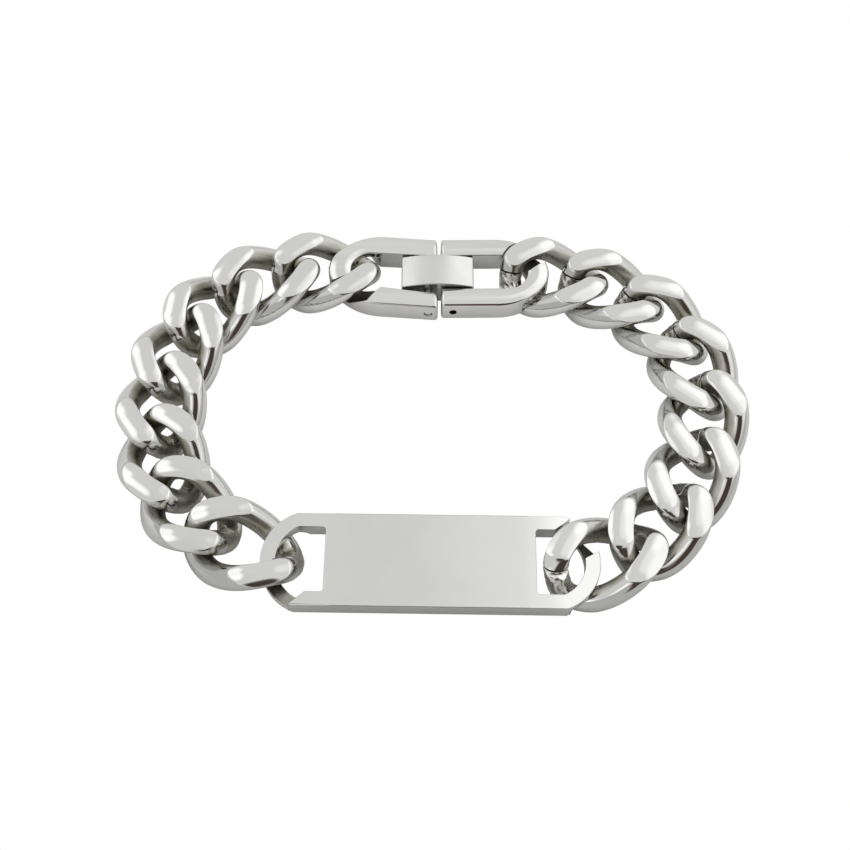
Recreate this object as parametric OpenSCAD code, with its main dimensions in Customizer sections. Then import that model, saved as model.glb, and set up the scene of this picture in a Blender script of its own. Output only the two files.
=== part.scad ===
// A closed curb-chain identity bracelet of polished steel, lying flat.
// +X runs along the plate to the right, +Y from the plate to the clasp, +Z up.
// The origin is under the middle of the whole bracelet, on the surface it lies on.

/* [Curb links] */

// Diameter of the round wire that the links are bent from, mm
wire_d = 3.5; // [3.2:0.05:3.5]

// Outside length of a link, mm
link_l = 16.4; // [16.2:0.1:17]

// Outside length of the link next to the plate, mm
end_link_l = 17.4; // [16.4:0.1:17.6]

// Outside width of a link, mm
link_w = 12.9; // [12.6:0.1:13.4]

// Thickness of a link after its two faces are ground flat, mm
link_t = 5.3; // [4.6:0.1:6]

// Angle that each end of a link is twisted by, degrees
link_twist = 50; // [44:1:56]

// Squareness of a link's outline, where 2 is an ellipse
link_square = 2.6; // [2.2:0.1:3]

/* [Identity plate] */

// Length of the plate over its two end loops, mm
plate_l = 45; // [44:0.5:46]

// Width of the plate, mm
plate_w = 13.4; // [13:0.1:14]

// Thickness of the plate, mm
plate_t = 2.4; // [2:0.1:3]

// Radius of the plate's two curved ends, mm
plate_end_r = 7.2; // [7:0.1:8]

// Width of metal round the end of a loop, mm
plate_rim = 2; // [1.6:0.1:2.2]

// Width of the rail on each side of a window, mm
plate_rail = 2.05; // [1.8:0.05:2.5]

// Distance from the plate's middle to a window's straight wall, mm
window_x = 14; // [13.2:0.1:14.4]

// Radius of a window's two inner corners, mm
window_corner = 0.4; // [0.2:0.1:0.8]

/* [Clasp halves] */

// Thickness of the two clasp halves, mm
clasp_t = 3.6; // [3.2:0.1:4.2]

// Radius of a half's nose, mm
nose_r = 4.6; // [4.2:0.1:5]

// Radius of the shoulders between a half's nose and its arms, mm
shoulder_r = 9; // [8:0.5:10]

// Space between the ends of the two halves, mm
clasp_gap = 0.5; // [0.3:0.1:0.8]

/* [Lock block] */

// Length of the block, mm
lock_l = 10.6; // [10:0.1:11]

// Width of the block, mm
lock_w = 5.4; // [4.8:0.1:5.4]

// Height of the block in the middle of its crowned top, mm
lock_t = 4.35; // [4:0.05:4.6]

// Height of the crown above the top's two ends, mm
lock_crown = 0.75; // [0.3:0.05:1]

// Distance from the hinge pin to the block's short end, mm
lock_tail = 3.9; // [3.4:0.1:4.1]

/* [Hinge and catch] */

// Diameter of the hinge pin, mm
pin_d = 1.2; // [1:0.1:1.4]

// Radial clearance of the pin in the block, mm
pin_clearance = 0.04; // [0.02:0.01:0.08]

// Diameter of the catch holes, mm
catch_d = 1.1; // [0.8:0.1:1.4]

// Height of the catch studs on the block's sides, mm
stud_h = 0.15; // [0.1:0.05:0.2]

/* [Hidden] */

LINKS = [for (i = [1:8]) i];

steel = [0.80, 0.80, 0.79];
satin = [0.86, 0.86, 0.86];
eps = 0.01;
$fn = 96;

// How the chain lies. Each side is walked link by link from the plate to the
// clasp: the direction a link's length points, in degrees, and the distance
// from its middle to the next one's, in mm.
// [direction, step]
left_lay = [
    [155, 9.6], [132, 9.1], [105, 9.15], [87, 9.15],
    [71, 9.05], [47, 9.05], [20, 9.05], [0, 0]
];
right_lay = [
    [22, 9.25], [45, 9.05], [67, 9.1], [81, 8.95],
    [105, 9], [130, 8.95], [153, 8.95], [171, 0]
];
left_start = [-24.4, -19];
right_start = [23.9, -20.7];
plate_mid = [0.7, -21.3];
plate_turn = -0.85;

// The two clasp halves, measured from the middle of the space between them:
// place, direction of the nose, half widths of the outline and of the slot,
// and distances to the nose's tip and the slot's end.
right_half_mid = [2.1, 25.15];
right_half_turn = 0.4;
right_half_w = 6.05;
right_slot_w = 3;
right_tip = 16.2;
left_half_mid = [2.1, 24.9];
left_half_turn = 175.5;
left_half_w = 6.2;
left_slot_w = 2.95;
left_tip = 16.4;
slot_tip = 13.1;
// the left half's slot flares toward the hinge, more on the near side
flare_near = 0.8;
flare_far = 0.2;

// how far the nose's circle would stand past the shoulder arcs, so that they
// cross it at a slight angle
nose_over = 0.03;

// the hinge pin's axis runs along Y through this point
pin_place = [0.45, 25.1];
catch_x = 4.1;

// the plate's curved ends are arcs about points this far from its middle, and
// run this much further before its straight edges cut them off
plate_arc_x = plate_l / 2 - plate_end_r;
plate_arc_run = sqrt(pow(plate_end_r, 2) - pow(plate_w / 2, 2));

// Where a link crosses, a loop is cut away above or below a face, so that both
// fit in the bracelet's thickness. Outlines of the cuts on the +X, +Y side:
plate_cut = [[19.6, 0.1], [24, 2.6], [20.1, 8], [15.8, 4.1]];
plate_far_right_cut = [
    [19.6, 0.1], [24, 2.6], [20.5, 8], [19.2, 6.8], [18.1, 5.8], [16.8, 4.85], [16.1, 4.2]
];
plate_near_left_cut = [
    [19.6, 0.1], [20.8, 0.1], [21, 0.6], [21.4, 0.9], [24, 0.95], [20.1, 8], [15.8, 4.1]
];
left_near_cut = [
    [7.8, 2.2], [10.3, 5.9], [11.8, 8], [18, 8], [16.8, 2.6],
    [15.2, 2.25], [13.9, 1.6], [13.1, 0.85], [12.75, 0.1], [12.4, 0.1]
];
left_far_cut = [
    [8.4, 2.3], [9, 2.95], [10, 4], [10.9, 5.1], [12.1, 6], [13, 8],
    [18, 8], [16.6, 2.2], [14.3, 0.1], [12.4, 0.1]
];
right_far_cut = [
    [9, 2.3], [9.7, 3.55], [10.4, 4.45], [11.3, 5.15], [12.3, 5.85], [13.5, 8],
    [18, 8], [16.6, 2.4], [15.8, 1.85], [14.3, 0.8], [13.3, 0.1], [12.4, 0.1]
];
right_near_cut = [
    [9, 2.3], [10.3, 3.95], [11.4, 4.7], [12.1, 5.15], [13, 6.2], [14, 8],
    [18, 8], [16.6, 2.5], [15, 2.05], [13.9, 1.3], [12.9, 0.3], [12.4, 0.1]
];
// [loop, side of its axis, side cut away, outline, faces that bound the cut]
// each face: [bearing from the loop's middle, height at the rim's inner edge, slope outward]
plate_laps = [
    [1, 1, 1, plate_far_right_cut, [[45, -0.48, -32]]],
    [1, -1, -1, plate_cut, [[0, 0, 0]]],
    [-1, 1, -1, plate_cut, [[40, -0.35, 22]]],
    [-1, -1, 1, plate_near_left_cut, [[-25, -0.85, 17]]]
];
left_laps = [
    [1, 1, 1, left_near_cut, [[-28, -1.15, -17.5], [106, -1.84, 54.7]]],
    [1, -1, -1, left_far_cut, [[0, 0.75, 0]]]
];
right_laps = [
    [1, 1, 1, right_far_cut, [[35, -0.75, 14]]],
    [1, -1, -1, right_near_cut, [[0, 0.82, 8]]]
];

// Ring of a link

stations = 30;
wire_sides = 13;

function signed_pow(v, e) = sign(v) * pow(abs(v), e);

// Middle of the wire at angle t round a ring of half length a and half width b
function ring_middle(a, b, t) =
    let (
        x = a * signed_pow(cos(t), 2 / link_square),
        y = b * signed_pow(sin(t), 2 / link_square),
        twist = -link_twist * x / a
    )
    [x, y * cos(twist), y * sin(twist)];

function unit(v) = v / norm(v);

// Outward direction across the wire, square to the wire's run
function ring_outward(a, b, t) =
    let (
        run = unit(ring_middle(a, b, t + 3) - ring_middle(a, b, t - 3)),
        twist = -link_twist * signed_pow(cos(t), 2 / link_square),
        out = [b * cos(t), a * sin(t) * cos(twist), a * sin(t) * sin(twist)]
    )
    [unit(out - (out * run) * run), run];

function wire_point(a, b, t, around) =
    let (o = ring_outward(a, b, t), side = cross(o[1], o[0]))
    ring_middle(a, b, t) + wire_d / 2 * (cos(around) * o[0] + sin(around) * side);

function ring_points(l) = [
    for (i = [0:stations - 1], j = [0:wire_sides - 1])
        wire_point((l - wire_d) / 2, (link_w - wire_d) / 2, i * 360 / stations, j * 360 / wire_sides)
];

function ring_index(i, j) = (i % stations) * wire_sides + j % wire_sides;

ring_faces = [
    for (i = [0:stations - 1], j = [0:wire_sides - 1], half = [0, 1])
        half == 0
            ? [ring_index(i, j), ring_index(i + 1, j + 1), ring_index(i, j + 1)]
            : [ring_index(i, j), ring_index(i + 1, j), ring_index(i + 1, j + 1)]
];

// Where each link lies

function heading(angle) = [cos(angle), sin(angle)];
function walk(start, lay, i) = i == 0
    ? start
    : walk(start, lay, i - 1) + lay[i - 1][1] / 2 * (heading(lay[i - 1][0]) + heading(lay[i][0]));
function turned(p, angle) = [p[0] * cos(angle) - p[1] * sin(angle), p[0] * sin(angle) + p[1] * cos(angle)];
function length_of(i) = i == 0 ? end_link_l : link_l;

// Outline points of everything that can reach the edge of the bracelet

function link_reach(start, lay, i) = [
    for (p = ring_points(length_of(i)))
        if (abs(p[2]) < link_t / 2) walk(start, lay, i) + turned(p, lay[i][0])
];
reach = concat(
    [for (i = [0:7]) each link_reach(left_start, left_lay, i)],
    [for (i = [0:7]) each link_reach(right_start, right_lay, i)],
    [for (x = [-1, 1], y = [-1, 1])
        plate_mid + turned([x * (plate_arc_x + plate_arc_run), y * plate_w / 2], plate_turn)]
);
low = [min([for (p = reach) p[0]]), min([for (p = reach) p[1]])];
high = [max([for (p = reach) p[0]]), max([for (p = reach) p[1]])];
stand = [-(low[0] + high[0]) / 2, -(low[1] + high[1]) / 2, link_t / 2];

module curb_link(start, lay, i) {
    place = walk(start, lay, i);
    color(steel)
        translate(stand + [place[0], place[1], 0])
            rotate([0, 0, lay[i][0]])
                intersection() {
                    polyhedron(points = ring_points(length_of(i)), faces = ring_faces);
                    cube([2 * link_l, 2 * link_w, link_t], center = true);
                }
}

// Identity plate

module plate_outline() {
    square([2 * plate_arc_x, plate_w], center = true);
    intersection() {
        for (side = [-1, 1])
            translate([side * plate_arc_x, 0])
                circle(r = plate_end_r);
        square([plate_l, plate_w], center = true);
    }
}

module window() {
    half = plate_w / 2 - plate_rail;
    run = plate_arc_x - window_x + eps;
    translate([window_x, window_corner - half])
        square([run, 2 * (half - window_corner)]);
    translate([window_x + window_corner, -half])
        square([run - window_corner, 2 * half]);
    for (side = [-1, 1])
        translate([window_x + window_corner, side * (half - window_corner)])
            circle(r = window_corner);
    intersection() {
        translate([plate_arc_x, 0])
            circle(r = plate_end_r - plate_rim);
        translate([plate_arc_x, -half])
            square([plate_end_r, 2 * half]);
    }
}

// The space on one side of a sloped face, which passes inner_r from the loop's middle
module beyond_face(face, side, middle, inner_r) {
    reach_out = 40;
    translate([middle, 0, 0])
        rotate([0, 0, face[0]])
            translate([inner_r, 0, face[1]])
                rotate([0, -face[2], 0])
                    translate([-reach_out / 2, -reach_out / 2, side > 0 ? 0 : -reach_out])
                        cube(reach_out);
}

// One cut of a loop: the part of the outline's column beyond each of its faces
module lap_cut(lap, middle, inner_r) {
    mirror([lap[0] < 0 ? 1 : 0, 0, 0])
        intersection() {
            mirror([0, lap[1] < 0 ? 1 : 0, 0])
                linear_extrude(2 * clasp_t, center = true)
                    polygon(lap[3]);
            intersection_for (face = lap[4])
                beyond_face(face, lap[2], middle, inner_r);
        }
}

module id_plate() {
    color(steel)
        translate(stand + [plate_mid[0], plate_mid[1], 0])
            rotate([0, 0, plate_turn])
                difference() {
                    linear_extrude(plate_t, center = true)
                        plate_outline();
                    for (end = [0, 180])
                        rotate([0, 0, end])
                            linear_extrude(2 * plate_t, center = true)
                                window();
                    for (lap = plate_laps)
                        lap_cut(lap, plate_arc_x, plate_end_r - plate_rim);
                }
}

// Clasp

// Outline of a half: straight arms, two shoulder arcs and a round nose
module half_outline(half_w, tip) {
    offset_y = shoulder_r - half_w;
    nose_x = tip - nose_r;
    spread = shoulder_r - nose_r + nose_over;
    shoulder_x = nose_x - sqrt(spread * spread - offset_y * offset_y);
    joint_x = shoulder_x + shoulder_r * (nose_x - shoulder_x) / spread;
    translate([-1, -half_w])
        square([shoulder_x + 1, 2 * half_w]);
    intersection() {
        translate([shoulder_x, -offset_y])
            circle(r = shoulder_r);
        translate([shoulder_x, offset_y])
            circle(r = shoulder_r);
        union() {
            translate([nose_x, 0])
                circle(r = nose_r);
            translate([shoulder_x, -half_w])
                square([joint_x - shoulder_x, 2 * half_w]);
        }
    }
}

// Slot between the arms, its end a half circle, with each wall's flare
module half_slot(slot_w, flare_plus, flare_minus) {
    end_x = slot_tip - slot_w;
    polygon([[-2, -slot_w - flare_minus], [end_x, -slot_w], [end_x, slot_w], [-2, slot_w + flare_plus]]);
    translate([end_x, 0])
        circle(r = slot_w);
}

module clasp_half(mid, turn, half_w, slot_w, tip, flare_plus, flare_minus, laps) {
    translate([mid[0], mid[1], 0])
        rotate([0, 0, turn])
            difference() {
                linear_extrude(clasp_t, center = true)
                    half_outline(half_w, tip);
                linear_extrude(2 * clasp_t, center = true)
                    half_slot(slot_w, flare_plus, flare_minus);
                for (lap = laps)
                    lap_cut(lap, slot_tip - slot_w, slot_w);
            }
}

// A round bar along Y through both arms
module cross_bar(x, d, l) {
    translate([x, pin_place[1], 0])
        rotate([90, 0, 0])
            cylinder(d = d, h = l, center = true);
}

// Everything on one side of the space between the halves
module beyond_gap(side) {
    wide = 40;
    translate([right_half_mid[0] + side * (wide - clasp_gap) / 2, right_half_mid[1], 0])
        cube([wide, wide, wide], center = true);
}

module clasp_left() {
    color(steel)
        translate(stand)
            difference() {
                clasp_half(left_half_mid, left_half_turn, left_half_w, left_slot_w, left_tip, flare_near, flare_far, left_laps);
                beyond_gap(1);
                cross_bar(pin_place[0], pin_d + 2 * pin_clearance, 4 * left_half_w);
            }
}

module clasp_right() {
    color(steel)
        translate(stand)
            difference() {
                clasp_half(right_half_mid, right_half_turn, right_half_w, right_slot_w, right_tip, 0, 0, right_laps);
                beyond_gap(-1);
                cross_bar(catch_x, catch_d, 4 * right_half_w);
            }
}

// Block with a top crowned along its length, hinged near its short end
module lock_block() {
    crown_r = (pow(lock_l / 2, 2) + lock_crown * lock_crown) / (2 * lock_crown);
    under = -1.85;
    color(satin)
        translate(stand)
            difference() {
                union() {
                    intersection() {
                        translate([pin_place[0] - lock_tail, pin_place[1] - lock_w / 2, under])
                            cube([lock_l, lock_w, lock_t]);
                        translate([pin_place[0] - lock_tail + lock_l / 2, pin_place[1], under + lock_t - crown_r])
                            rotate([90, 0, 0])
                                cylinder(r = crown_r, h = 2 * lock_w, center = true);
                    }
                    cross_bar(catch_x, catch_d - 0.1, lock_w + 2 * stud_h);
                }
                cross_bar(pin_place[0], pin_d + 2 * pin_clearance, 2 * lock_w);
            }
}

module hinge_pin() {
    color(steel)
        translate(stand)
            cross_bar(pin_place[0], pin_d, 2 * left_half_w);
}

id_plate();
for (i = LINKS) {
    curb_link(left_start, left_lay, i - 1);
    curb_link(right_start, right_lay, i - 1);
}
clasp_left();
clasp_right();
lock_block();
hinge_pin();
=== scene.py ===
import bpy
import bmesh
import math
import numpy as np
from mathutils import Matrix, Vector


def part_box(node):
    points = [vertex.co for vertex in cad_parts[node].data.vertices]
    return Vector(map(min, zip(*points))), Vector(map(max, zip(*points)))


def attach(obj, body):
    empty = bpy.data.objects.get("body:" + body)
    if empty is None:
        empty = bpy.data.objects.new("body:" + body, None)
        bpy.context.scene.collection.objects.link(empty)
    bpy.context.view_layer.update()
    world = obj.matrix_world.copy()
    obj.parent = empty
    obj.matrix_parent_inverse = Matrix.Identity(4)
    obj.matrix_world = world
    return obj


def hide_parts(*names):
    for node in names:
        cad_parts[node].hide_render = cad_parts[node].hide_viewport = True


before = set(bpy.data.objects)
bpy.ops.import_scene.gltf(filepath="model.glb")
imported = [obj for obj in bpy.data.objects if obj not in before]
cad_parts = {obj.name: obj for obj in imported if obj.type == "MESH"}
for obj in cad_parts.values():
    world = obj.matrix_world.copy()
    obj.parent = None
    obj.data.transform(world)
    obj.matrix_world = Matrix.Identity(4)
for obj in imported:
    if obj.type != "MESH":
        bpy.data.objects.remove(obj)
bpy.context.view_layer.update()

MM = 0.001

# The lay frame is the one the bracelet is laid out in, in millimetres, with the
# mid-plane of the chain at height 0. The hinge pin says where it stands.
PIN_PLACE = (0.45, 25.1)
pin_low, pin_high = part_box("hinge_pin")
STAND = np.array([
    (pin_low.x + pin_high.x) / 2 / MM - PIN_PLACE[0],
    (pin_low.y + pin_high.y) / 2 / MM - PIN_PLACE[1],
    (pin_low.z + pin_high.z) / 2 / MM,
])

# Camera, at the photograph's viewing angle

CAMERA_PLACE = (-0.000923, -0.10479, 0.17897)
CAMERA_TILT = 30.2
SENSOR, LENS = 36, 61.72
NEAREST, FURTHEST = 0.005, 20

camera_data = bpy.data.cameras.new("camera")
camera_data.sensor_width = SENSOR
camera_data.lens = LENS
camera_data.clip_start = NEAREST
camera_data.clip_end = FURTHEST
camera = bpy.data.objects.new("camera", camera_data)
camera.location = CAMERA_PLACE
camera.rotation_euler = (math.radians(CAMERA_TILT), 0, 0)
bpy.context.scene.collection.objects.link(camera)
bpy.context.scene.camera = camera


# Meshes

# How near two points count as one, and a point counts as on a plane, in metres
SAME_POINT = 2e-7
ON_PLANE = 1e-7
# Angles over which faces meet in a crease: mostly, on the rings of the chain, on pieces
# with bevels, and on the clasp halves
CREASE, RING_CREASE, BEVEL_CREASE, HALF_CREASE = 30, 60, 40, 35
# Angle over which an edge gets a bevel
BEVEL_FROM = 30
# Weight of a face's area in the normals beside it, of the modifier's 1 to 100
AREA_WEIGHT = 100


def new_object(name, points, faces, place=STAND, crease=CREASE):
    """A mesh object from points in the lay frame, in millimetres."""
    mesh = bpy.data.meshes.new(name)
    points = (np.asarray(points, float) + place) * MM
    mesh.from_pydata([tuple(p) for p in points], [], faces)
    mesh.update()
    piece = bpy.data.objects.new(name, mesh)
    bpy.context.scene.collection.objects.link(piece)
    finish_mesh(piece, crease)
    return piece


def finish_mesh(piece, crease):
    """Outward normals, smooth shading, and creases where faces meet sharply."""
    work = bmesh.new()
    work.from_mesh(piece.data)
    bmesh.ops.remove_doubles(work, verts=work.verts, dist=SAME_POINT)
    bmesh.ops.recalc_face_normals(work, faces=work.faces)
    work.to_mesh(piece.data)
    work.free()
    polygons = piece.data.polygons
    polygons.foreach_set("use_smooth", [True] * len(polygons))
    piece.data.set_sharp_from_angle(angle=math.radians(crease))
    piece.data.update()


def apply_modifiers(piece):
    """Puts what the modifiers do into the mesh."""
    graph = bpy.context.evaluated_depsgraph_get()
    made = bpy.data.meshes.new_from_object(piece.evaluated_get(graph))
    piece.modifiers.clear()
    old = piece.data
    piece.data = made
    bpy.data.meshes.remove(old)


def flatten(piece):
    """Smooth shading that keeps the wide faces flat and rounds only the bevels."""
    finish_mesh(piece, BEVEL_CREASE)
    modifier = piece.modifiers.new("flatten", "WEIGHTED_NORMAL")
    modifier.keep_sharp = True
    modifier.weight = AREA_WEIGHT
    apply_modifiers(piece)


def cut(piece, cutters, operation="DIFFERENCE"):
    """Cuts a piece with solids, which are used up."""
    for cutter in cutters:
        modifier = piece.modifiers.new("cut", "BOOLEAN")
        modifier.operation = operation
        modifier.solver = "EXACT"
        modifier.object = cutter
        apply_modifiers(piece)
        bpy.data.objects.remove(cutter)


def bevel(piece, width, segments):
    """Rounds a piece's sharp edges, by a width in millimetres."""
    modifier = piece.modifiers.new("bevel", "BEVEL")
    modifier.width = width * MM
    modifier.segments = segments
    modifier.limit_method = "ANGLE"
    modifier.angle_limit = math.radians(BEVEL_FROM)
    modifier.use_clamp_overlap = False
    modifier.miter_outer = "MITER_ARC"
    apply_modifiers(piece)


def split(piece, lines, place, degrees):
    """Cuts wide faces along upright planes, so that none has a hole in it.
    lines are (axis, distance) in a frame turned by degrees about place."""
    work = bmesh.new()
    work.from_mesh(piece.data)
    axes = turn([(1, 0, 0), (0, 1, 0)], degrees)
    for axis, distance in lines:
        bmesh.ops.bisect_plane(
            work, geom=work.verts[:] + work.edges[:] + work.faces[:], dist=ON_PLANE,
            plane_co=Vector((place + axes[axis] * distance) * MM), plane_no=Vector(axes[axis]))
    work.to_mesh(piece.data)
    work.free()


def turn(points, degrees):
    """Points turned about Z."""
    c, s = math.cos(math.radians(degrees)), math.sin(math.radians(degrees))
    points = np.asarray(points, float)
    out = points.copy()
    out[..., 0] = points[..., 0] * c - points[..., 1] * s
    out[..., 1] = points[..., 0] * s + points[..., 1] * c
    return out


def full_turn(steps):
    """Even angles once round a circle."""
    return np.linspace(0, 2 * np.pi, steps + 1)[:-1]


def arc(middle, radius, start, end, steps):
    """Points on an arc between two bearings in degrees."""
    a = np.radians(np.linspace(start, end, steps + 1))
    return np.c_[middle[0] + radius * np.cos(a), middle[1] + radius * np.sin(a)]


def skin(rows, n):
    """Faces of a solid whose points are a stack of rows, n points round in each."""
    faces = [tuple(range(n)), tuple(range((rows - 1) * n, rows * n))[::-1]]
    for start in range(0, (rows - 1) * n, n):
        for i in range(n):
            a, b = start + i, start + (i + 1) % n
            faces.append((a, a + n, b + n, b))
    return faces


def prism(name, outline, low, high, place):
    """An upright solid. low and high are heights, or one height for each point."""
    n = len(outline)
    points = [
        (p[0], p[1], z) for level in (low, high)
        for p, z in zip(outline, np.broadcast_to(level, n))]
    faces = [tuple(range(n))[::-1], tuple(range(n, 2 * n))]
    faces += [(i, (i + 1) % n, n + (i + 1) % n, n + i) for i in range(n)]
    return new_object(name, points, faces, place)


def smooth_step(v, low, high):
    """0 below low, 1 above high, and smooth between."""
    t = np.clip((np.asarray(v, float) - low) / (high - low), 0, 1)
    return t * t * (3 - 2 * t)


def unit(v):
    """Vectors scaled to a length of 1."""
    return v / np.linalg.norm(v, axis=-1, keepdims=True)


# Curb links

# Radius of the round wire that a ring is bent from, and the radius of the metal, which
# with LINK_B, half the width of the wire's middle line, keeps within the flat facets of
# the solids
WIRE_R = 1.75
METAL_R = 1.705
LINK_B = 4.65
LINK_L = 16.4
END_LINK_L = 17.4
# Twist of a ring from its middle to each end in degrees, and the power of its
# superellipse
LINK_TWIST = 50
SQUARE = 2.6
# The chain's course: (direction of a link's length in degrees, distance to the next
# link's middle), from the plate to the clasp
LEFT_START = (-24.4, -19)
LEFT_LAY = [
    (155, 9.6), (132, 9.1), (105, 9.15), (87, 9.15),
    (71, 9.05), (47, 9.05), (20, 9.05), (0, 0)]
RIGHT_START = (23.9, -20.7)
RIGHT_LAY = [
    (22, 9.25), (45, 9.05), (67, 9.1), (81, 8.95),
    (105, 9), (130, 8.95), (153, 8.95), (171, 0)]
# Stations along a ring, and points round its wire at each
STATIONS = 200
AROUND = 88
# Steps that the ring's middle line is measured in, and how many of them the direction
# of the wire is taken over, each way
LINE_STEPS = 8000
RUN_STEPS = 40

# Height of the ground faces, and how softly they meet the round of the wire
FLAT = 2.65
FLAT_SOFT = 0.05
# Heights between which the look changes from round to ground
GROUND_LOW, GROUND_HIGH = 2.3, 2.6
# Middle and direction of the face that is ground on the top at -x, +y, how it falls
# away along and across (see fall), and the most that it falls
FACE_MID = (-4.35, 3.05)
FACE_LEAN = 38
FALL_ALONG = (0, 0.0018, 2.5)
FALL_ACROSS = (0.07, 0.01, 1.7)
MOST_FALL = 0.55

# Where the ends of the wire were soldered, as a share of the way round the ring
SEAM = 0.987
END_SEAM = 0.458
# Half the width of the groove there and its depth, where stations lie across it in
# halves of its width, and how near to it there are no others
SEAM_HALF = 0.12
SEAM_DEPTH = 0.16
SEAM_STATIONS = np.array([-1.3, -1, -0.75, -0.5, -0.25, 0, 0.25, 0.5, 0.75, 1, 1.3])
SEAM_CLEAR = 0.2
# The share of the groove that is painted black as its shade, and the value on the cast mark that
# says so
SEAM_SHADE_SHARE = 0.8
SEAM_SHADE_MARK = 2.0
# How far before and past its seam the face of a link that dips slopes down, and how
# steeply
DIP, DIP_PAST, DIP_SLOPE = 1.3, 0.3, 0.55
# The share of the way from which the face of another link with a seam bends down, how
# sharply, and the distance from which it goes on evenly
TIP, TIP_BEND, TIP_END = 0.433, 0.35, 0.64
# How far past the seam, or past TIP, all this ends
DIP_END = 3

# Height of the lumps on metal left as it was cast, and their fineness
CAST_LUMP = 0.07
LUMP_SCALE = 0.6
# What they are made of: each line is how much of a product of two waves, and the two,
# each with its factors for x, y and z and its phase. The last is what is taken off it.
LUMP_WAVES = [
    (1, (5.1, 2.3, -1.7, 0), (0, 4.3, -3.9, 1.1)),
    (0.6, (8.7, 0, -6.1, 0.7), (3.3, 9.1, 0, 0)),
]
LUMP_OFF = 0.9
# The share of the way over which cast metal sets in, and the share of its own length
# from which it fades
CAST_START = 0.006
CAST_FADE = 0.6
# How much raw metal, painted shade and all, is hidden under cast metal, and how raw,
# painted shade and all, cast metal looks on a link without a seam
CAST_COVER = 0.8
CAST_AS_RAW_AND_SHADE = 1.2
# Where raw metal, darkened as painted shade, begins and is full on the wire's inner side,
# from 0 at the wire's top and bottom to 1 at its innermost
INNER_LOW, INNER_HIGH = -0.05, 0.45


def walk(start, lay):
    """The place of each link's middle, from the plate to the clasp."""
    places = [np.array(start, float)]
    for (h0, step), (h1, _) in zip(lay, lay[1:]):
        a, b = math.radians(h0), math.radians(h1)
        run = np.array([math.cos(a) + math.cos(b), math.sin(a) + math.sin(b)])
        places.append(places[-1] + step / 2 * run)
    return places


def ring_wire(a, shares_at):
    """Middle of the wire and its outward and side directions at some distances along
    it, those distances, and its length. a is half the middle line's length along X, and
    shares_at gives the shares of the way for a length of wire."""
    t = full_turn(LINE_STEPS)
    c, s = np.cos(t), np.sin(t)
    x = a * np.sign(c) * np.abs(c) ** (2 / SQUARE)
    y = LINK_B * np.sign(s) * np.abs(s) ** (2 / SQUARE)
    twist = np.radians(-LINK_TWIST) * x / a
    middle = np.c_[x, y * np.cos(twist), y * np.sin(twist)]
    out = np.c_[LINK_B * c, a * s * np.cos(twist), a * s * np.sin(twist)]
    run = unit(np.roll(middle, -RUN_STEPS, 0) - np.roll(middle, RUN_STEPS, 0))
    out = unit(out - (out * run).sum(1)[:, None] * run)
    steps = np.linalg.norm(np.diff(np.r_[middle, middle[:1]], axis=0), axis=1)
    along = np.r_[0, np.cumsum(steps)]
    wanted = shares_at(along[-1]) * along[-1]

    def sample(v):
        closed = np.r_[v, v[:1]]
        return np.stack([np.interp(wanted, along, closed[:, k]) for k in range(3)], 1)

    out = sample(out)
    run = unit(sample(run))
    out = unit(out - (out * run).sum(1)[:, None] * run)
    return sample(middle), out, np.cross(run, out), wanted, along[-1]


def soft_min(v, limit, k):
    """The smaller of two, rounded over a width of k each way."""
    return np.minimum(v, limit) - np.maximum(k - np.abs(v - limit), 0) ** 2 / (4 * k)


def fall(v, square, fourth, end):
    """A fall away from 0 that gets steeper, and past end goes on evenly."""
    v = np.abs(v)
    near = np.minimum(v, end)
    slope = 2 * square * end + 4 * fourth * end ** 3
    return square * near ** 2 + fourth * near ** 4 + slope * (v - near)


def face_level(x, y):
    """Height of a ground face, which drops a little toward its edges."""
    flip = np.where(x > 0, -1, 1)
    x, y = x * flip - FACE_MID[0], y * flip - FACE_MID[1]
    lean = math.radians(FACE_LEAN)
    along = x * math.cos(lean) + y * math.sin(lean)
    across = y * math.cos(lean) - x * math.sin(lean)
    drop = fall(along, *FALL_ALONG) + fall(across, *FALL_ACROSS)
    return FLAT - MOST_FALL * np.tanh(drop / MOST_FALL)


def lumps(points):
    """Uneven depths between 0 and -2.5, for metal left as it was cast."""
    x, y, z = np.moveaxis(points * LUMP_SCALE, -1, 0)

    def wave(for_x, for_y, for_z, phase):
        return np.sin(for_x * x + for_y * y + for_z * z + phase)

    return np.minimum(sum(k * wave(*a) * wave(*b) for k, a, b in LUMP_WAVES) - LUMP_OFF, 0)


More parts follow.
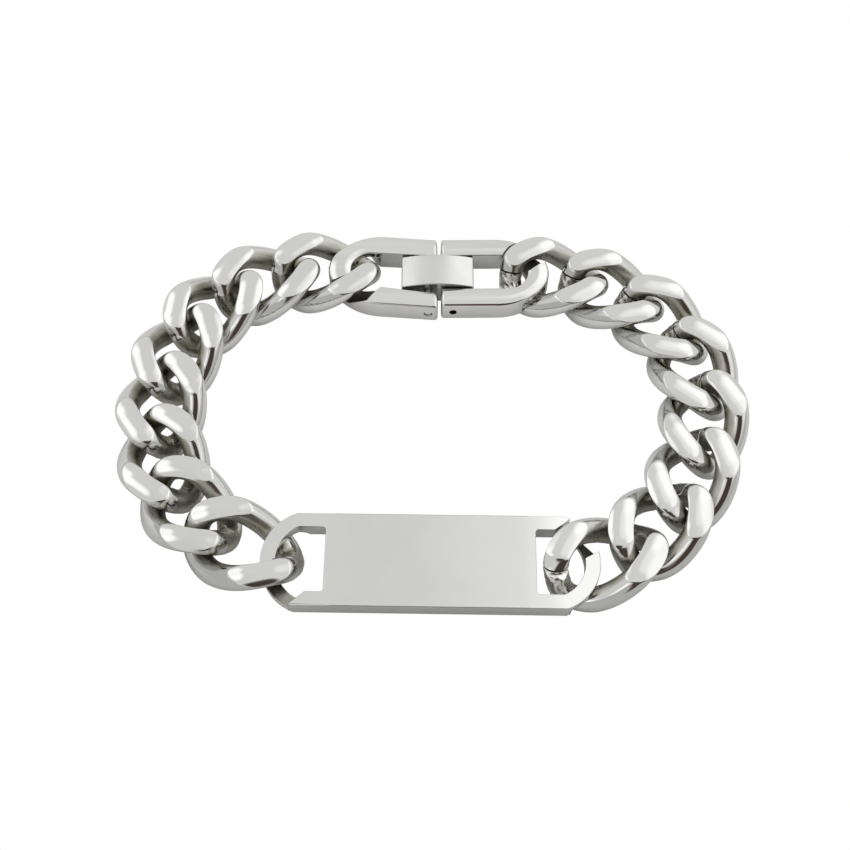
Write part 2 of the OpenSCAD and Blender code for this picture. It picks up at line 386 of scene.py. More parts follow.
def link_mesh(length, seam, rough_from, rough_to, dips=False):
    """Points of a link in its own frame, its length along X, how raw and how cast its
    surface is at each point, and its faces. The raw value also carries painted shade on
    the wire's inner side, and the cast value a painted sheen and the seam's painted
    shade. rough_from and rough_to are shares of the way round. On a link that dips a
    face slopes down toward the seam, and on another link with a seam one bends down at
    its tip."""

    def from_seam(shares, total):
        return np.abs((shares - seam + 0.5) % 1 - 0.5) * total

    def stations(total):
        shares = np.linspace(0, 1, STATIONS + 1)[:-1]
        if seam is not None:
            fine = (seam + SEAM_HALF * SEAM_STATIONS / total) % 1
            shares = np.sort(np.r_[shares[from_seam(shares, total) > SEAM_CLEAR], fine])
        return shares

    middle, out, side, wanted, total = ring_wire((length - 2 * WIRE_R) / 2, stations)
    share = wanted / total
    ang = full_turn(AROUND)
    ray = np.cos(ang)[None, :, None] * out[:, None] + np.sin(ang)[None, :, None] * side[:, None]
    points = middle[:, None] + METAL_R * ray

    # the faces ground on top and underneath
    x, y = points[..., 0], points[..., 1]
    level = face_level(x, y)
    if dips:
        past = (share - seam) * total
        down = np.clip(past + DIP, 0, DIP + DIP_PAST) * (past < DIP_END)
        level -= DIP_SLOPE * down[:, None]
    elif seam is not None:
        past = (share - TIP) * total
        down = fall(np.clip(past, 0, None), TIP_BEND, 0, TIP_END) * (past < DIP_END)
        level -= down[:, None]
    above = soft_min(points[..., 2], level, FLAT_SOFT)
    below = -soft_min(-points[..., 2], face_level(x, -y), FLAT_SOFT)
    ground = smooth_step(np.abs(points[..., 2]), GROUND_LOW, GROUND_HIGH)
    points[..., 2] = np.where(points[..., 2] > 0, above, below)

    # the groove of the seam
    if seam is not None:
        apart = from_seam(share, total)
        depth = SEAM_DEPTH * np.clip(1 - (apart / SEAM_HALF) ** 2, 0, 1)
        points -= depth[:, None, None] * unit(points - middle[:, None])

    # metal that the polish didn't reach, darkened as painted shade, and metal left as cast,
    # lightened as a painted sheen
    inner = smooth_step(-np.cos(ang), INNER_LOW, INNER_HIGH)[None, :] * np.ones((len(share), 1))
    past = (share - rough_from) % 1
    span = (rough_to - rough_from) % 1
    cast_sheen_and_seam_shade = smooth_step(past, 0, CAST_START) * (1 - smooth_step(past, span * CAST_FADE, span))
    cast_sheen_and_seam_shade = cast_sheen_and_seam_shade[:, None] * (1 - ground)
    raw_and_shade = inner * (1 - ground) * (1 - CAST_COVER * cast_sheen_and_seam_shade)
    lump = CAST_LUMP if seam is not None else CAST_LUMP / 2
    points += (lump * cast_sheen_and_seam_shade * lumps(points))[..., None] * unit(points - middle[:, None])
    if seam is None:
        raw_and_shade, cast_sheen_and_seam_shade = np.maximum(raw_and_shade, CAST_AS_RAW_AND_SHADE * cast_sheen_and_seam_shade), 0 * cast_sheen_and_seam_shade
    else:
        # the middle of the seam's groove is marked for painted black shade
        cast_sheen_and_seam_shade = np.where(apart[:, None] < SEAM_HALF * SEAM_SHADE_SHARE, SEAM_SHADE_MARK, cast_sheen_and_seam_shade)

    index = np.arange(len(share) * AROUND).reshape(len(share), AROUND)
    nxt, up = np.roll(index, -1, 0), np.roll(index, -1, 1)
    faces = np.stack([index, nxt, np.roll(nxt, -1, 1), up], -1).reshape(-1, 4)
    return points.reshape(-1, 3), raw_and_shade.reshape(-1), cast_sheen_and_seam_shade.reshape(-1), faces.tolist()


def paint(piece, name, values):
    """Keeps a value for each point of a piece, for its material to read."""
    layer = piece.data.attributes.new(name, "FLOAT", "POINT")
    layer.data.foreach_set("value", np.asarray(values, np.float32))


# The chain is soldered at each link's end: plain to see on the right side, and cast
# over with a rough end on the left. The first link of a side is a longer one.
LINK_KINDS = {
    ("left", True): link_mesh(END_LINK_L, None, 0.49, 0.62),
    ("left", False): link_mesh(LINK_L, None, 0.495, 0.6),
    ("right", True): link_mesh(END_LINK_L, END_SEAM, END_SEAM, 0.6, True),
    ("right", False): link_mesh(LINK_L, SEAM, SEAM, 0.08),
}
SIDES = (("left", LEFT_START, LEFT_LAY), ("right", RIGHT_START, RIGHT_LAY))
links = []
for side_name, start, lay in SIDES:
    for i, (place, (heading, _)) in enumerate(zip(walk(start, lay), lay)):
        points, raw_and_shade, cast_sheen_and_seam_shade, faces = LINK_KINDS[side_name, i == 0]
        node = f"link_{side_name}_{i + 1}"
        points = turn(points, heading) + np.array([place[0], place[1], 0])
        piece = new_object(f"{node}_ring", points, faces, crease=RING_CREASE)
        paint(piece, "raw_and_shade", raw_and_shade)
        paint(piece, "cast_sheen_and_seam_shade", cast_sheen_and_seam_shade)
        links.append((piece, node))


# Laps: where a link crosses, a loop is cut away beyond one or two sloped faces

# A field that a lap's second face is cut from, and a height that is out of reach, mm
FIELD = [(-5, -25), (35, -25), (35, 25), (-5, 25)]
OUT_OF_REACH = 60
# The least area of a face that is a lap's, and no part of a bevel or a rounded arm, mm2,
# and the least and most of its normal along Z
LAP_AREA = 0.5
LAP_UP_LOW, LAP_UP_HIGH = 0.3, 0.993


def lap_cutter(lap, middle, inner_r, degrees, place):
    """The solid that a lap takes away from a loop, in millimetres in the loop's frame.
    A lap is (loop, side of its axis, side cut away, outline, faces), and a face is
    (bearing from the loop's middle, height at the rim's inner edge, slope outward)."""
    loop, axis_side, away, outline, bounds = lap
    made = None
    for bearing, height, slope in bounds:
        b = math.radians(bearing)
        p = np.array(outline, float) * [1, axis_side] if made is None else np.array(FIELD, float)
        out = (p[:, 0] - middle) * math.cos(b) + p[:, 1] * math.sin(b) - inner_r
        face = height + out * math.tan(math.radians(slope))
        far = away * OUT_OF_REACH
        p = turn(p * [loop, 1], degrees)
        solid = prism("lap", p, np.minimum(face, far), np.maximum(face, far), place)
        if made is None:
            made = solid
        else:
            cut(made, [solid], "INTERSECT")
    return made


def paint_laps(piece):
    """Marks the sloped faces that the laps left, for the material to dull and to darken as painted
    shade.
    """
    values = [
        float(f.area > LAP_AREA * MM * MM and LAP_UP_LOW < f.normal.z < LAP_UP_HIGH)
        for f in piece.data.polygons]
    layer = piece.data.attributes.new("lap", "FLOAT", "FACE")
    layer.data.foreach_set("value", values)


# Identity plate

PLATE_MID = (0.7, -21.3)
PLATE_TURN = -0.85
PLATE_W, PLATE_T, END_R, ARC_X = 13.4, 2.4, 7.2, 15.3
RIM, RAIL, WINDOW_X, WINDOW_CORNER = 2, 2.05, 14, 0.4
PLATE_BEVEL, PLATE_BEVEL_STEPS = 0.09, 3
# Half the height of what cuts a window
WINDOW_REACH = 4
# Steps in the arcs of the plate's ends, the windows and the windows' corners
END_STEPS, WINDOW_STEPS, CORNER_STEPS = 100, 90, 6
# (axis, distance) of the planes that its wide faces are cut along
PLATE_SPLITS = [(0, 13), (0, -13), (1, 0.3)]
PLATE_CUT = [(19.6, 0.1), (24, 2.6), (20.1, 8), (15.8, 4.1)]
FAR_RIGHT_CUT = [
    (19.6, 0.1), (24, 2.6), (20.5, 8), (19.2, 6.8), (18.1, 5.8), (16.8, 4.85), (16.1, 4.2)]
NEAR_LEFT_CUT = [
    (19.6, 0.1), (20.8, 0.1), (21, 0.6), (21.4, 0.9), (24, 0.95), (20.1, 8), (15.8, 4.1)]
PLATE_LAPS = [
    (1, 1, 1, FAR_RIGHT_CUT, [(45, -0.48, -32)]),
    (1, -1, -1, PLATE_CUT, [(0, 0, 0)]),
    (-1, 1, -1, PLATE_CUT, [(40, -0.35, 22)]),
    (-1, -1, 1, NEAR_LEFT_CUT, [(-25, -0.85, 17)]),
]


def build_plate():
    place = STAND + np.array([PLATE_MID[0], PLATE_MID[1], 0])
    edge = math.degrees(math.asin(PLATE_W / 2 / END_R))
    outline = np.r_[
        arc((ARC_X, 0), END_R, -edge, edge, END_STEPS),
        arc((-ARC_X, 0), END_R, 180 - edge, 180 + edge, END_STEPS),
    ]
    body = prism("plate_body", turn(outline, PLATE_TURN), -PLATE_T / 2, PLATE_T / 2, place)
    half = PLATE_W / 2 - RAIL
    inner_r = END_R - RIM
    edge = math.degrees(math.asin(half / inner_r))
    c = WINDOW_CORNER
    window = np.r_[
        arc((WINDOW_X + c, half - c), c, 90, 180, CORNER_STEPS),
        arc((WINDOW_X + c, c - half), c, 180, 270, CORNER_STEPS),
        arc((ARC_X, 0), inner_r, -edge, edge, WINDOW_STEPS),
    ]
    cutters = [
        prism("window", turn(window * sign, PLATE_TURN), -WINDOW_REACH, WINDOW_REACH, place)
        for sign in (1, -1)]
    cutters += [lap_cutter(lap, ARC_X, inner_r, PLATE_TURN, place) for lap in PLATE_LAPS]
    cut(body, cutters)
    split(body, PLATE_SPLITS, place, PLATE_TURN)
    bevel(body, PLATE_BEVEL, PLATE_BEVEL_STEPS)
    flatten(body)
    paint_laps(body)
    return body


plate = build_plate()


# Clasp halves

CLASP_T, NOSE_R, SHOULDER_R, NOSE_OVER, SLOT_TIP = 3.6, 4.6, 9, 0.03, 13.1
CLASP_GAP = 0.5
CLASP_MID_X = 2.1
# The arms' tops: how far they stand over the flat, fall from their middle to their
# edges, and are rounded at the inner and the outer edge
LIFT, CROWN, INNER_EDGE, OUTER_EDGE = 0.12, 0.17, 0.14, 0.4
# Steps round an edge and across the top of an arm's section
EDGE_STEPS, ACROSS_STEPS = 8, 16
# Where on a half's axis its slot has its whole flare
FLARE_FULL = -2
# Sections along an arm and round the nose
ARM_SECTIONS, NOSE_SECTIONS = 41, 91
# How far an arm's end is rounded, in how many sections, and how many of the arm's own
# sections they stand in for
END_SOFT, SOFT_SECTIONS, SOFT_FOR = 0.45, 8, 3
# A distance that ends outside the outline from any point in it, and how many times the
# search for the outline halves it
OUTSIDE, HALVINGS = 30.0, 50
LEFT_LAPS = [
    (1, 1, 1, [
        (7.8, 2.2), (10.3, 5.9), (11.8, 8), (18, 8), (16.8, 2.6),
        (15.2, 2.25), (13.9, 1.6), (13.1, 0.85), (12.75, 0.1), (12.4, 0.1),
    ], [(-28, -1.15, -17.5), (106, -1.84, 54.7)]),
    (1, -1, -1, [
        (8.4, 2.3), (9, 2.95), (10, 4), (10.9, 5.1), (12.1, 6), (13, 8),
        (18, 8), (16.6, 2.2), (14.3, 0.1), (12.4, 0.1),
    ], [(0, 0.75, 0)]),
]
RIGHT_LAPS = [
    (1, 1, 1, [
        (9, 2.3), (9.7, 3.55), (10.4, 4.45), (11.3, 5.15), (12.3, 5.85), (13.5, 8),
        (18, 8), (16.6, 2.4), (15.8, 1.85), (14.3, 0.8), (13.3, 0.1), (12.4, 0.1),
    ], [(35, -0.75, 14)]),
    (1, -1, -1, [
        (9, 2.3), (10.3, 3.95), (11.4, 4.7), (12.1, 5.15), (13, 6.2), (14, 8),
        (18, 8), (16.6, 2.5), (15, 2.05), (13.9, 1.3), (12.9, 0.3), (12.4, 0.1),
    ], [(0, 0.82, 8)]),
]


def half_reach(half_w, tip, x, dx, dy):
    """How far the outline of a half is from a point on its axis, along a direction."""
    offset = SHOULDER_R - half_w
    nose = tip - NOSE_R
    spread = SHOULDER_R - NOSE_R + NOSE_OVER
    shoulder = nose - math.sqrt(spread ** 2 - offset ** 2)
    joint = shoulder + SHOULDER_R * (nose - shoulder) / spread
    low, high = 0.0, OUTSIDE
    for _ in range(HALVINGS):
        d = (low + high) / 2
        px, py = x + d * dx, abs(d * dy)
        if px <= shoulder:
            inside = py <= half_w
        else:
            inside = math.hypot(px - shoulder, py + offset) <= SHOULDER_R
            if px > joint:
                inside = inside and math.hypot(px - nose, py) <= NOSE_R
        low, high = (d, high) if inside else (low, d)
    return low


def half_profile():
    """An arm's section, round from the inner wall's middle over the top: the share of
    the width, an inset in millimetres, and the height."""
    top = CLASP_T / 2 + LIFT
    low = top - CROWN
    quarter = [math.pi / 2 * k / EDGE_STEPS for k in range(EDGE_STEPS + 1)]
    rows = [(0, 0.0, 0.0)]
    for a in quarter:
        rows.append((0, INNER_EDGE * (1 - math.cos(a)), low - INNER_EDGE * (1 - math.sin(a))))
    for k in range(1, ACROSS_STEPS):
        u = k / ACROSS_STEPS
        rows.append((u, INNER_EDGE * (1 - u) - OUTER_EDGE * u, top - CROWN * (2 * u - 1) ** 2))
    for a in quarter:
        rows.append((1, -OUTER_EDGE * (1 - math.sin(a)), low - OUTER_EDGE * (1 - math.cos(a))))
    rows.append((1, 0.0, 0.0))
    return rows + [(u, i, -z) for u, i, z in rows[::-1][1:-1]]


def soft_end(rings, end, inward):
    """The end of an arm: its section drawn in along a quarter circle."""
    ring = rings[end]
    run = unit((rings[end + SOFT_FOR * inward] - ring).mean(0))
    middle = ring.mean(0)
    d = ring - middle
    wide = np.linalg.norm(d[:, :2], axis=1).max()
    tall = np.abs(d[:, 2]).max()
    rows = []
    for a in np.linspace(0, math.pi / 2, SOFT_SECTIONS):
        draw, lift = END_SOFT * (1 - math.sin(a)), END_SOFT * (1 - math.cos(a))
        kept = np.array([1 - draw / wide, 1 - draw / wide, 1 - draw / tall])
        rows.append(middle + d * kept + run * lift)
    return rows


def build_half(name, mid_y, turn_by, half_w, slot_w, tip, flare, gap_side, laps):
    """A clasp half: one section run along an arm, round the nose and back. flare is how
    much wider the slot gets toward the gap, on its two sides."""
    end_x = SLOT_TIP - slot_w
    c, s = math.cos(math.radians(turn_by)), math.sin(math.radians(turn_by))
    stop = gap_side * CLASP_GAP / 2

    def arm(sign, flare_here):
        """Inner and outer point of each section along an arm, from the gap on."""
        start_in = (stop + s * sign * (slot_w + flare_here)) / c
        start_out = (stop + s * sign * half_w) / c
        rows = []
        for share in np.linspace(0, 1, ARM_SECTIONS):
            x_in = start_in + (end_x - start_in) * share
            x_out = start_out + (end_x - start_out) * share
            y_in = slot_w + flare_here * (end_x - x_in) / (end_x - FLARE_FULL)
            y_out = half_reach(half_w, tip, x_out, 0, 1)
            rows.append([(x_in, sign * y_in), (x_out, sign * y_out)])
        return rows

    sections = arm(1, flare[0])
    for a in np.radians(np.linspace(90, -90, NOSE_SECTIONS)[1:-1]):
        run = np.array([math.cos(a), math.sin(a)])
        mid = np.array([end_x, 0])
        sections.append([mid + slot_w * run, mid + half_reach(half_w, tip, end_x, *run) * run])
    sections += arm(-1, flare[1])[::-1]

    profile = half_profile()
    rings = []
    for inner, outer in np.array(sections):
        width = np.linalg.norm(outer - inner)
        across = (outer - inner) / width
        rings.append([(*(inner + across * (u * width + inset)), z) for u, inset, z in profile])
    rings = np.array(rings)
    rings = np.array(
        soft_end(rings, 0, 1) + list(rings[SOFT_FOR:-SOFT_FOR]) + soft_end(rings, -1, -1)[::-1])
    points = turn(rings.reshape(-1, 3), turn_by)
    place = STAND + np.array([CLASP_MID_X, mid_y, 0])
    piece = new_object(name, points, skin(*rings.shape[:2]), place, HALF_CREASE)
    cut(piece, [lap_cutter(lap, end_x, slot_w, turn_by, place) for lap in laps])
    return piece


# Round parts: points round each, and what the pin and the catch's holes measure
ROUND_STEPS = 48
CATCH_X, CATCH_R, PIN_R, PIN_GAP = 4.1, 0.55, 0.6, 0.04
# How far what cuts a hole reaches from the pin's middle: through a half, and the block
HALF_REACH, LOCK_REACH = 15, 5


def lathe(name, x, stack):
    """A round solid along Y in the lay frame, from its (radius, y)."""
    angles = full_turn(ROUND_STEPS)
    points = [(x + r * math.cos(v), y, r * math.sin(v)) for r, y in stack for v in angles]
    return new_object(name, points, skin(len(stack), ROUND_STEPS))


def bar(name, x, radius, reach):
    """A round bar that reaches equally far both ways from the pin's middle."""
    return lathe(name, x, [(radius, PIN_PLACE[1] - reach), (radius, PIN_PLACE[1] + reach)])


clasp_left = build_half(
    "clasp_left_body", mid_y=24.9, turn_by=175.5, half_w=6.2, slot_w=2.95, tip=16.4,
    flare=(0.8, 0.2), gap_side=-1, laps=LEFT_LAPS)
clasp_right = build_half(
    "clasp_right_body", mid_y=25.15, turn_by=0.4, half_w=6.05, slot_w=3, tip=16.2,
    flare=(0, 0), gap_side=1, laps=RIGHT_LAPS)
HOLES = ((clasp_left, PIN_PLACE[0], PIN_R + PIN_GAP), (clasp_right, CATCH_X, CATCH_R))
for piece, x, radius in HOLES:
    cut(piece, [bar("hole", x, radius, HALF_REACH)])
    finish_mesh(piece, HALF_CREASE)
    paint_laps(piece)


# Lock block

LOCK_L, LOCK_W, LOCK_T, LOCK_CROWN, TAIL, UNDER = 10.6, 5.4, 4.35, 0.75, 3.9, -1.85
LOCK_BEVEL, LOCK_BEVEL_STEPS, CROWN_STEPS = 0.16, 4, 48
STUD_H, STUD_GAP = 0.15, 0.05


def build_lock():
    x0 = PIN_PLACE[0] - TAIL
    r = ((LOCK_L / 2) ** 2 + LOCK_CROWN ** 2) / (2 * LOCK_CROWN)
    half = math.degrees(math.asin(LOCK_L / 2 / r))
    top = arc(
        (x0 + LOCK_L / 2, UNDER + LOCK_T - r), r, 90 - half, 90 + half, CROWN_STEPS)
    side = np.r_[[(x0, UNDER), (x0 + LOCK_L, UNDER)], top]
    ys = (PIN_PLACE[1] - LOCK_W / 2, PIN_PLACE[1] + LOCK_W / 2)
    points = [(p[0], y, p[1]) for y in ys for p in side]
    block = new_object("lock_block_body", points, skin(2, len(side)))
    bevel(block, LOCK_BEVEL, LOCK_BEVEL_STEPS)
    cut(block, [bar("stud", CATCH_X, CATCH_R - STUD_GAP, LOCK_W / 2 + STUD_H)], "UNION")
    cut(block, [bar("hole", PIN_PLACE[0], PIN_R + PIN_GAP, LOCK_REACH)])
    flatten(block)
    return block


lock = build_lock()


# Hinge pin

# One domed end: (radius, distance in from the end)
PIN_END = [(0.15, 0.005), (0.3, 0.03), (0.42, 0.07), (0.5, 0.1), (0.56, 0.15), (PIN_R, 0.22)]


def build_pin():
    y0, y1 = pin_low.y / MM - STAND[1], pin_high.y / MM - STAND[1]
    stack = [(r, y0 + d) for r, d in PIN_END] + [(r, y1 - d) for r, d in PIN_END[::-1]]
    return lathe("hinge_pin_body", PIN_PLACE[0], stack)


pin = build_pin()


# Materials

POLISHED = (0.68, 0.68, 0.665)
CLASP_TONE = (0.7, 0.7, 0.685)
LOCK_TONE = (0.65, 0.65, 0.64)
# painted shade: the black that fills the seam's groove
SEAM_SHADE_TONE = (0.03, 0.028, 0.025)
# painted shade on the laps, where a crossing link hangs over them
LAP_SHADE_DARK, LAP_SHADE_TONE = (0.2, 0.195, 0.17), (0.36, 0.35, 0.32)
# Roughness of the polish on links and plate, clasp halves and lock block, the span of a
# roughness over a polished face, and that of the laps
CHAIN_ROUGH, CLASP_ROUGH, LOCK_ROUGH = 0.05, 0.08, 0.26
ROUGH_SPAN = (0.7, 1.4)
LAP_ROUGH = (0.25, 0.5)
# Scale and detail of each noise, and how it is stretched where it is
BROAD_NOISE, FINE_NOISE, STREAK_NOISE, PIT_NOISE = (160, 3), (900, 4), (420, 4), (1500, 5)
CLASP_STRETCH, LAP_STRETCH, STREAK_STRETCH = (0.25, 4, 1), (1, 0.3, 1), (1, 1, 0.35)
# The values of a noise that stand for none and all: over most of it, or less
MOST, MIDDLE, NARROW = (0.3, 0.7), (0.35, 0.65), (0.4, 0.6)
# What is laid over the polish: metal that it didn't reach, darkened as painted shade, and metal
# left as cast, lightened as a painted sheen
# raw metal: satin, and its darker olive colour partly painted shade on the rings' inner walls
RAW_AND_SHADE = {
    "span": MIDDLE, "dark": (0.4, 0.39, 0.335), "tone": (0.58, 0.57, 0.51),
    "rough": (0.22, 0.42), "strength": 0.12, "height": 0.0002}
# cast metal: lumpy, its colour lifted past the polish as a painted sheen
CAST_WITH_SHEEN = {
    "span": NARROW, "dark": (0.7, 0.69, 0.65), "tone": (0.93, 0.92, 0.9),
    "rough": (0.1, 0.28), "strength": 0.04, "height": 0.00012}
# Values of the cast mark between which painted black shade fills the seam, short of the seam's own
# mark
SEAM_SHADE_SPAN = (1.2, 1.8)
# Depth of the polish's own relief, in metres
POLISH_HEIGHT = 0.0001
# Where the polish rolls away over the plate's right end, and how far, in metres
ROLL_FROM, ROLL_TO, ROLL_HEIGHT = 0.0122, 0.0222, 0.0011


class Look:
    """A material of steel, built up from values laid over each other."""

    def __init__(self, name):
        self.material = bpy.data.materials.new(name)
        self.material.use_nodes = True
        self.nodes, self.wires = self.material.node_tree.nodes, self.material.node_tree.links
        self.shader = self.nodes["Principled BSDF"]
        self.shader.inputs["Metallic"].default_value = 1
        self.place = self.nodes.new("ShaderNodeTexCoord").outputs["Object"]

    def give(self, socket, value):
        """Wires a value to a socket, or keeps a plain number on it."""
        if isinstance(value, bpy.types.NodeSocket):
            self.wires.new(value, socket)
        else:
            socket.default_value = value

    def noise(self, scale, detail, stretch=(1, 1, 1)):
        node = self.nodes.new("ShaderNodeTexNoise")
        node.inputs["Scale"].default_value = scale
        node.inputs["Detail"].default_value = detail
        mapping = self.nodes.new("ShaderNodeMapping")
        mapping.inputs["Scale"].default_value = stretch
        self.wires.new(self.place, mapping.inputs["Vector"])
        self.wires.new(mapping.outputs["Vector"], node.inputs["Vector"])
        return node.outputs["Fac"]

    def painted(self, name):
        """A value painted on the piece, 0 where there is none."""
        node = self.nodes.new("ShaderNodeAttribute")
        node.attribute_name = name
        return node.outputs["Fac"]

    def scaled(self, value, low, high, start=0.0, end=1.0):
        """A value between start and end, moved to between low and high."""
        node = self.nodes.new("ShaderNodeMapRange")
        node.inputs["From Min"].default_value = start
        node.inputs["From Max"].default_value = end
        node.inputs["To Min"].default_value = low
        node.inputs["To Max"].default_value = high
        self.wires.new(value, node.inputs["Value"])
        return node.outputs["Result"]

    def mixed(self, kind, factor, a, b):
        """a where the factor is 0 and b where it is 1."""
        node = self.nodes.new("ShaderNodeMix")
        node.data_type = kind
        self.wires.new(factor, node.inputs["Factor"])
        # the sockets of the data type in use
        sockets = [s for s in node.inputs if s.enabled and s.name in ("A", "B")]
        for socket, value in zip(sockets, (a, b)):
            self.give(socket, (*value, 1) if isinstance(value, (tuple, list)) else value)
        return [s for s in node.outputs if s.enabled][0]

    def relief(self, height, strength, distance, below=None):
        """A bumpy normal, over another one if there is one."""
        node = self.nodes.new("ShaderNodeBump")
        node.inputs["Distance"].default_value = distance
        self.give(node.inputs["Strength"], strength)
        self.wires.new(height, node.inputs["Height"])
        if below is not None:
            self.wires.new(below, node.inputs["Normal"])
        return node.outputs["Normal"]

    def end(self, colour, roughness, normal):
        self.wires.new(colour, self.shader.inputs["Base Color"])
        self.wires.new(roughness, self.shader.inputs["Roughness"])
        self.wires.new(normal, self.shader.inputs["Normal"])
        return self.material


def polished(look, tone, rough, bump=0.02, uneven=0.03, stretch=(1, 1, 1)):
    """Colour, roughness and normal of polished steel, a little uneven."""
    broad = look.noise(*BROAD_NOISE, stretch)
    dark = [v * (1 - uneven) for v in tone]
    colour = look.mixed("RGBA", look.scaled(broad, 0, 1, *MIDDLE), dark, tone)
    roughness = look.scaled(broad, rough * ROUGH_SPAN[0], rough * ROUGH_SPAN[1], *MOST)
    return colour, roughness, look.relief(look.noise(*FINE_NOISE), bump, POLISH_HEIGHT)


def shaded_lap_faces(look, colour, roughness):
    """Colour and roughness with the laps duller than what they are cut in, and darkened as painted
    shade.
    """
    lap = look.painted("lap")
    streaks = look.noise(*FINE_NOISE, LAP_STRETCH)
    # duller metal, and a dark colour that is painted shade
    dull_and_shaded = look.mixed("RGBA", streaks, LAP_SHADE_DARK, LAP_SHADE_TONE)
    colour = look.mixed("RGBA", lap, colour, dull_and_shaded)
    return colour, look.mixed("FLOAT", lap, roughness, look.scaled(streaks, *LAP_ROUGH, *MOST))


def laid_over(look, below, where, noise, kind):
    """Colour, roughness and normal with another kind of metal over them, in that kind's colours,
    which hold its painted shade (raw metal) and painted sheen (cast metal).
    """
    colour, roughness, normal = below
    metal = look.mixed("RGBA", look.scaled(noise, 0, 1, *kind["span"]), kind["dark"], kind["tone"])
    colour = look.mixed("RGBA", where, colour, metal)
    roughness = look.mixed("FLOAT", where, roughness, look.scaled(noise, *kind["rough"], *MOST))
    strength = look.scaled(where, 0, kind["strength"])
    return colour, roughness, look.relief(noise, strength, kind["height"], normal)


def plain_steel(name, tone, rough, **more):
    look = Look(name)
    colour, roughness, normal = polished(look, tone, rough, **more)
    return look.end(*shaded_lap_faces(look, colour, roughness), normal)


def build_link_steel():
    """Polished outside, satin within and darkened there as painted shade, lumpy where
    the ends were cast and lightened there as a painted sheen, and painted black in the
    seam as its shade.
    """
    look = Look("link_steel")
    surface = polished(look, POLISHED, CHAIN_ROUGH)
    raw_and_shade, cast_sheen_and_seam_shade = look.painted("raw_and_shade"), look.painted("cast_sheen_and_seam_shade")
    # raw metal on the wire's inner side, darkened as painted shade
    surface = laid_over(look, surface, raw_and_shade, look.noise(*STREAK_NOISE, STREAK_STRETCH), RAW_AND_SHADE)
    # cast metal, its lighter colour a painted sheen
    surface = laid_over(look, surface, cast_sheen_and_seam_shade, look.noise(*PIT_NOISE), CAST_WITH_SHEEN)
    colour, roughness, normal = surface
    # painted shade: the seam's groove is coloured black
    seam_shade = look.scaled(cast_sheen_and_seam_shade, 0, 1, *SEAM_SHADE_SPAN)
    return look.end(look.mixed("RGBA", seam_shade, colour, SEAM_SHADE_TONE), roughness, normal)


def build_plate_steel():
    """The polish rolls away over the right end of the plate, which mirrors the light there."""
    look = Look("plate_steel")
    colour, roughness, normal = polished(look, POLISHED, CHAIN_ROUGH)
    colour, roughness = shaded_lap_faces(look, colour, roughness)
    place = look.nodes.new("ShaderNodeSeparateXYZ")
    look.wires.new(look.place, place.inputs["Vector"])
    end = look.scaled(place.outputs["X"], 0, 1, ROLL_FROM, ROLL_TO)
    square = look.nodes.new("ShaderNodeMath")
    square.operation = "MULTIPLY"
    look.wires.new(end, square.inputs[0])
    look.wires.new(end, square.inputs[1])
    height = look.scaled(square.outputs["Value"], 1, 0)
    return look.end(colour, roughness, look.relief(height, 1.0, ROLL_HEIGHT, normal))


link_steel = build_link_steel()
plate_steel = build_plate_steel()
clasp_steel = plain_steel(
    "clasp_steel", CLASP_TONE, CLASP_ROUGH, uneven=0.08, stretch=CLASP_STRETCH)
lock_steel = plain_steel("lock_steel", LOCK_TONE, LOCK_ROUGH)


def dress(piece, node, material, body):
    piece.data.materials.clear()
    piece.data.materials.append(material)
    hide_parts(node)
    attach(piece, body)


for piece, node in links:
    dress(piece, node, link_steel, "bracelet")
dress(plate, "id_plate", plate_steel, "bracelet")
dress(clasp_left, "clasp_left", clasp_steel, "bracelet")
dress(clasp_right, "clasp_right", clasp_steel, "bracelet")
dress(lock, "lock_block", lock_steel, "lock")
dress(pin, "hinge_pin", clasp_steel, "bracelet")


# Floor, which the metal mirrors, and paper, which is what the camera sees

FLOOR_REACH = 3
FLOOR_HEIGHT, PAPER_HEIGHT = -0.00002, -0.00001
# The floor is painted darker in front as shade, from one distance to the other along Y
SHADED_FRONT_TONE, BACK_TONE = (0.68, 0.68, 0.67), (0.95, 0.95, 0.94)
FRONT_Y, BACK_Y = -0.034, 0.004
# the floor glows a little in its painted tones: painted light
FLOOR_PAINTED_GLOW, FLOOR_ROUGH = 0.06, 0.9
PAPER_GLOW = 1.0


def floor_plane(name, height):
    """A wide level plane that is stage, and its material."""
    mesh = bpy.data.meshes.new(name)
    r = FLOOR_REACH
    corners = [(-r, -r, height), (r, -r, height), (r, r, height), (-r, r, height)]
    mesh.from_pydata(corners, [], [(0, 1, 2, 3)])
    plane = bpy.data.objects.new(name, mesh)
    bpy.context.scene.collection.objects.link(plane)
    material = bpy.data.materials.new(name)
    material.use_nodes = True
    mesh.materials.append(material)
    return plane, material.node_tree


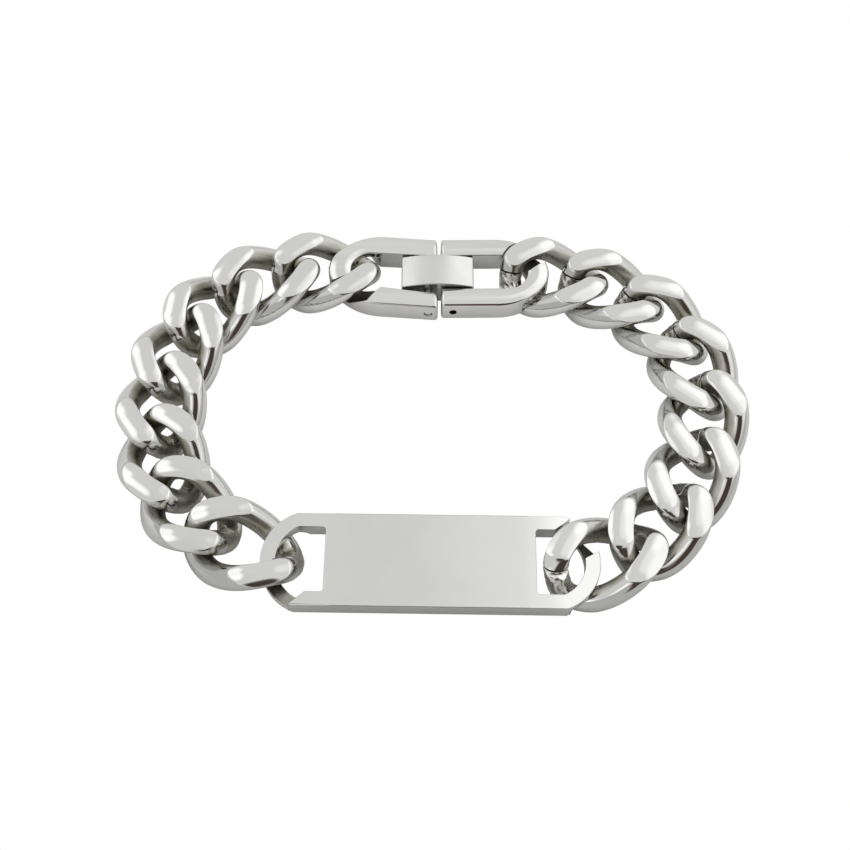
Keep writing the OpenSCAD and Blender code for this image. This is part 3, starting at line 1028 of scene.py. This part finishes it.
def build_floor():
    floor, tree = floor_plane("floor", FLOOR_HEIGHT)
    shade = tree.nodes.new("ShaderNodeMix")
    shade.data_type = "RGBA"
    shade.inputs["A"].default_value = (*SHADED_FRONT_TONE, 1)
    shade.inputs["B"].default_value = (*BACK_TONE, 1)
    spread = tree.nodes.new("ShaderNodeMapRange")
    spread.inputs["From Min"].default_value = FRONT_Y
    spread.inputs["From Max"].default_value = BACK_Y
    place = tree.nodes.new("ShaderNodeSeparateXYZ")
    tree.links.new(tree.nodes.new("ShaderNodeTexCoord").outputs["Object"], place.inputs["Vector"])
    tree.links.new(place.outputs["Y"], spread.inputs["Value"])
    tree.links.new(spread.outputs["Result"], shade.inputs["Factor"])
    shader = tree.nodes["Principled BSDF"]
    # painted shade in front and painted light behind, as colour and as glow
    for name in ("Base Color", "Emission Color"):
        tree.links.new(shade.outputs["Result"], shader.inputs[name])
    shader.inputs["Emission Strength"].default_value = FLOOR_PAINTED_GLOW
    shader.inputs["Roughness"].default_value = FLOOR_ROUGH
    floor.visible_camera = False


def build_paper():
    paper, tree = floor_plane("paper", PAPER_HEIGHT)
    glow = tree.nodes.new("ShaderNodeEmission")
    glow.inputs["Strength"].default_value = PAPER_GLOW
    tree.links.new(glow.outputs["Emission"], tree.nodes["Material Output"].inputs["Surface"])
    paper.visible_glossy = paper.visible_diffuse = False
    paper.visible_shadow = paper.visible_transmission = False


build_floor()
build_paper()


# Light: a tent's wall, and laid over it the lit roof, the soft boxes on both sides, and
# the dark opening that the photograph was taken through. Each is (tone, azimuth,
# elevation, inner and outer radius), the azimuth from +Y toward +X.

WALL = (0.58, 0.58, 0.57)
DARK = (0.08, 0.058, 0.046)
LOBES = [
    ((0.9, 0.9, 0.89), 40, 69, 60, 70),
    ((0.85, 0.85, 0.84), -83, 55, 24, 34),
    ((1.5, 1.5, 1.5), -51, 60, 3, 13),
    ((1.5, 1.5, 1.5), -40, 46, 5, 14),
    ((1.15, 1.15, 1.14), 28, 62, 3, 14),
    ((1.5, 1.5, 1.5), 35, 48, 5, 18),
    ((1.4, 1.4, 1.39), 65, 54, 6, 20),
    ((1.4, 1.4, 1.39), -140, 47, 4, 11),
    ((1.1, 1.1, 1.09), 103, 33, 6, 16),
    (DARK, 180, 74, 8, 17),
    (DARK, 157, 43, 19, 28),
    (DARK, 163, 20, 8, 18),
]
WORLD_STRENGTH = 1.0


def sky_lobe(sky, sight, below, tone, azimuth, elevation, inner, outer):
    """Lays a round patch of light or dark over what is below it."""
    a, e = math.radians(azimuth), math.radians(elevation)
    dot = sky.nodes.new("ShaderNodeVectorMath")
    dot.operation = "DOT_PRODUCT"
    dot.inputs[1].default_value = (
        math.sin(a) * math.cos(e), math.cos(a) * math.cos(e), math.sin(e))
    sky.links.new(sight, dot.inputs[0])
    ramp = sky.nodes.new("ShaderNodeMapRange")
    ramp.interpolation_type = "SMOOTHSTEP"
    ramp.inputs["From Min"].default_value = math.cos(math.radians(outer))
    ramp.inputs["From Max"].default_value = math.cos(math.radians(inner))
    sky.links.new(dot.outputs["Value"], ramp.inputs["Value"])
    mix = sky.nodes.new("ShaderNodeMix")
    mix.data_type = "RGBA"
    sky.links.new(ramp.outputs["Result"], mix.inputs["Factor"])
    if isinstance(below, tuple):
        mix.inputs["A"].default_value = (*below, 1)
    else:
        sky.links.new(below, mix.inputs["A"])
    mix.inputs["B"].default_value = (*tone, 1)
    return mix.outputs["Result"]


def build_world():
    world = bpy.data.worlds.new("studio")
    bpy.context.scene.world = world
    world.use_nodes = True
    sky = world.node_tree
    sight = sky.nodes.new("ShaderNodeTexCoord").outputs["Generated"]
    light = WALL
    for lobe in LOBES:
        light = sky_lobe(sky, sight, light, *lobe)
    sky.links.new(light, sky.nodes["Background"].inputs["Color"])
    sky.nodes["Background"].inputs["Strength"].default_value = WORLD_STRENGTH


build_world()

scene = bpy.context.scene
scene.view_settings.view_transform = "Standard"
scene.view_settings.look = "None"
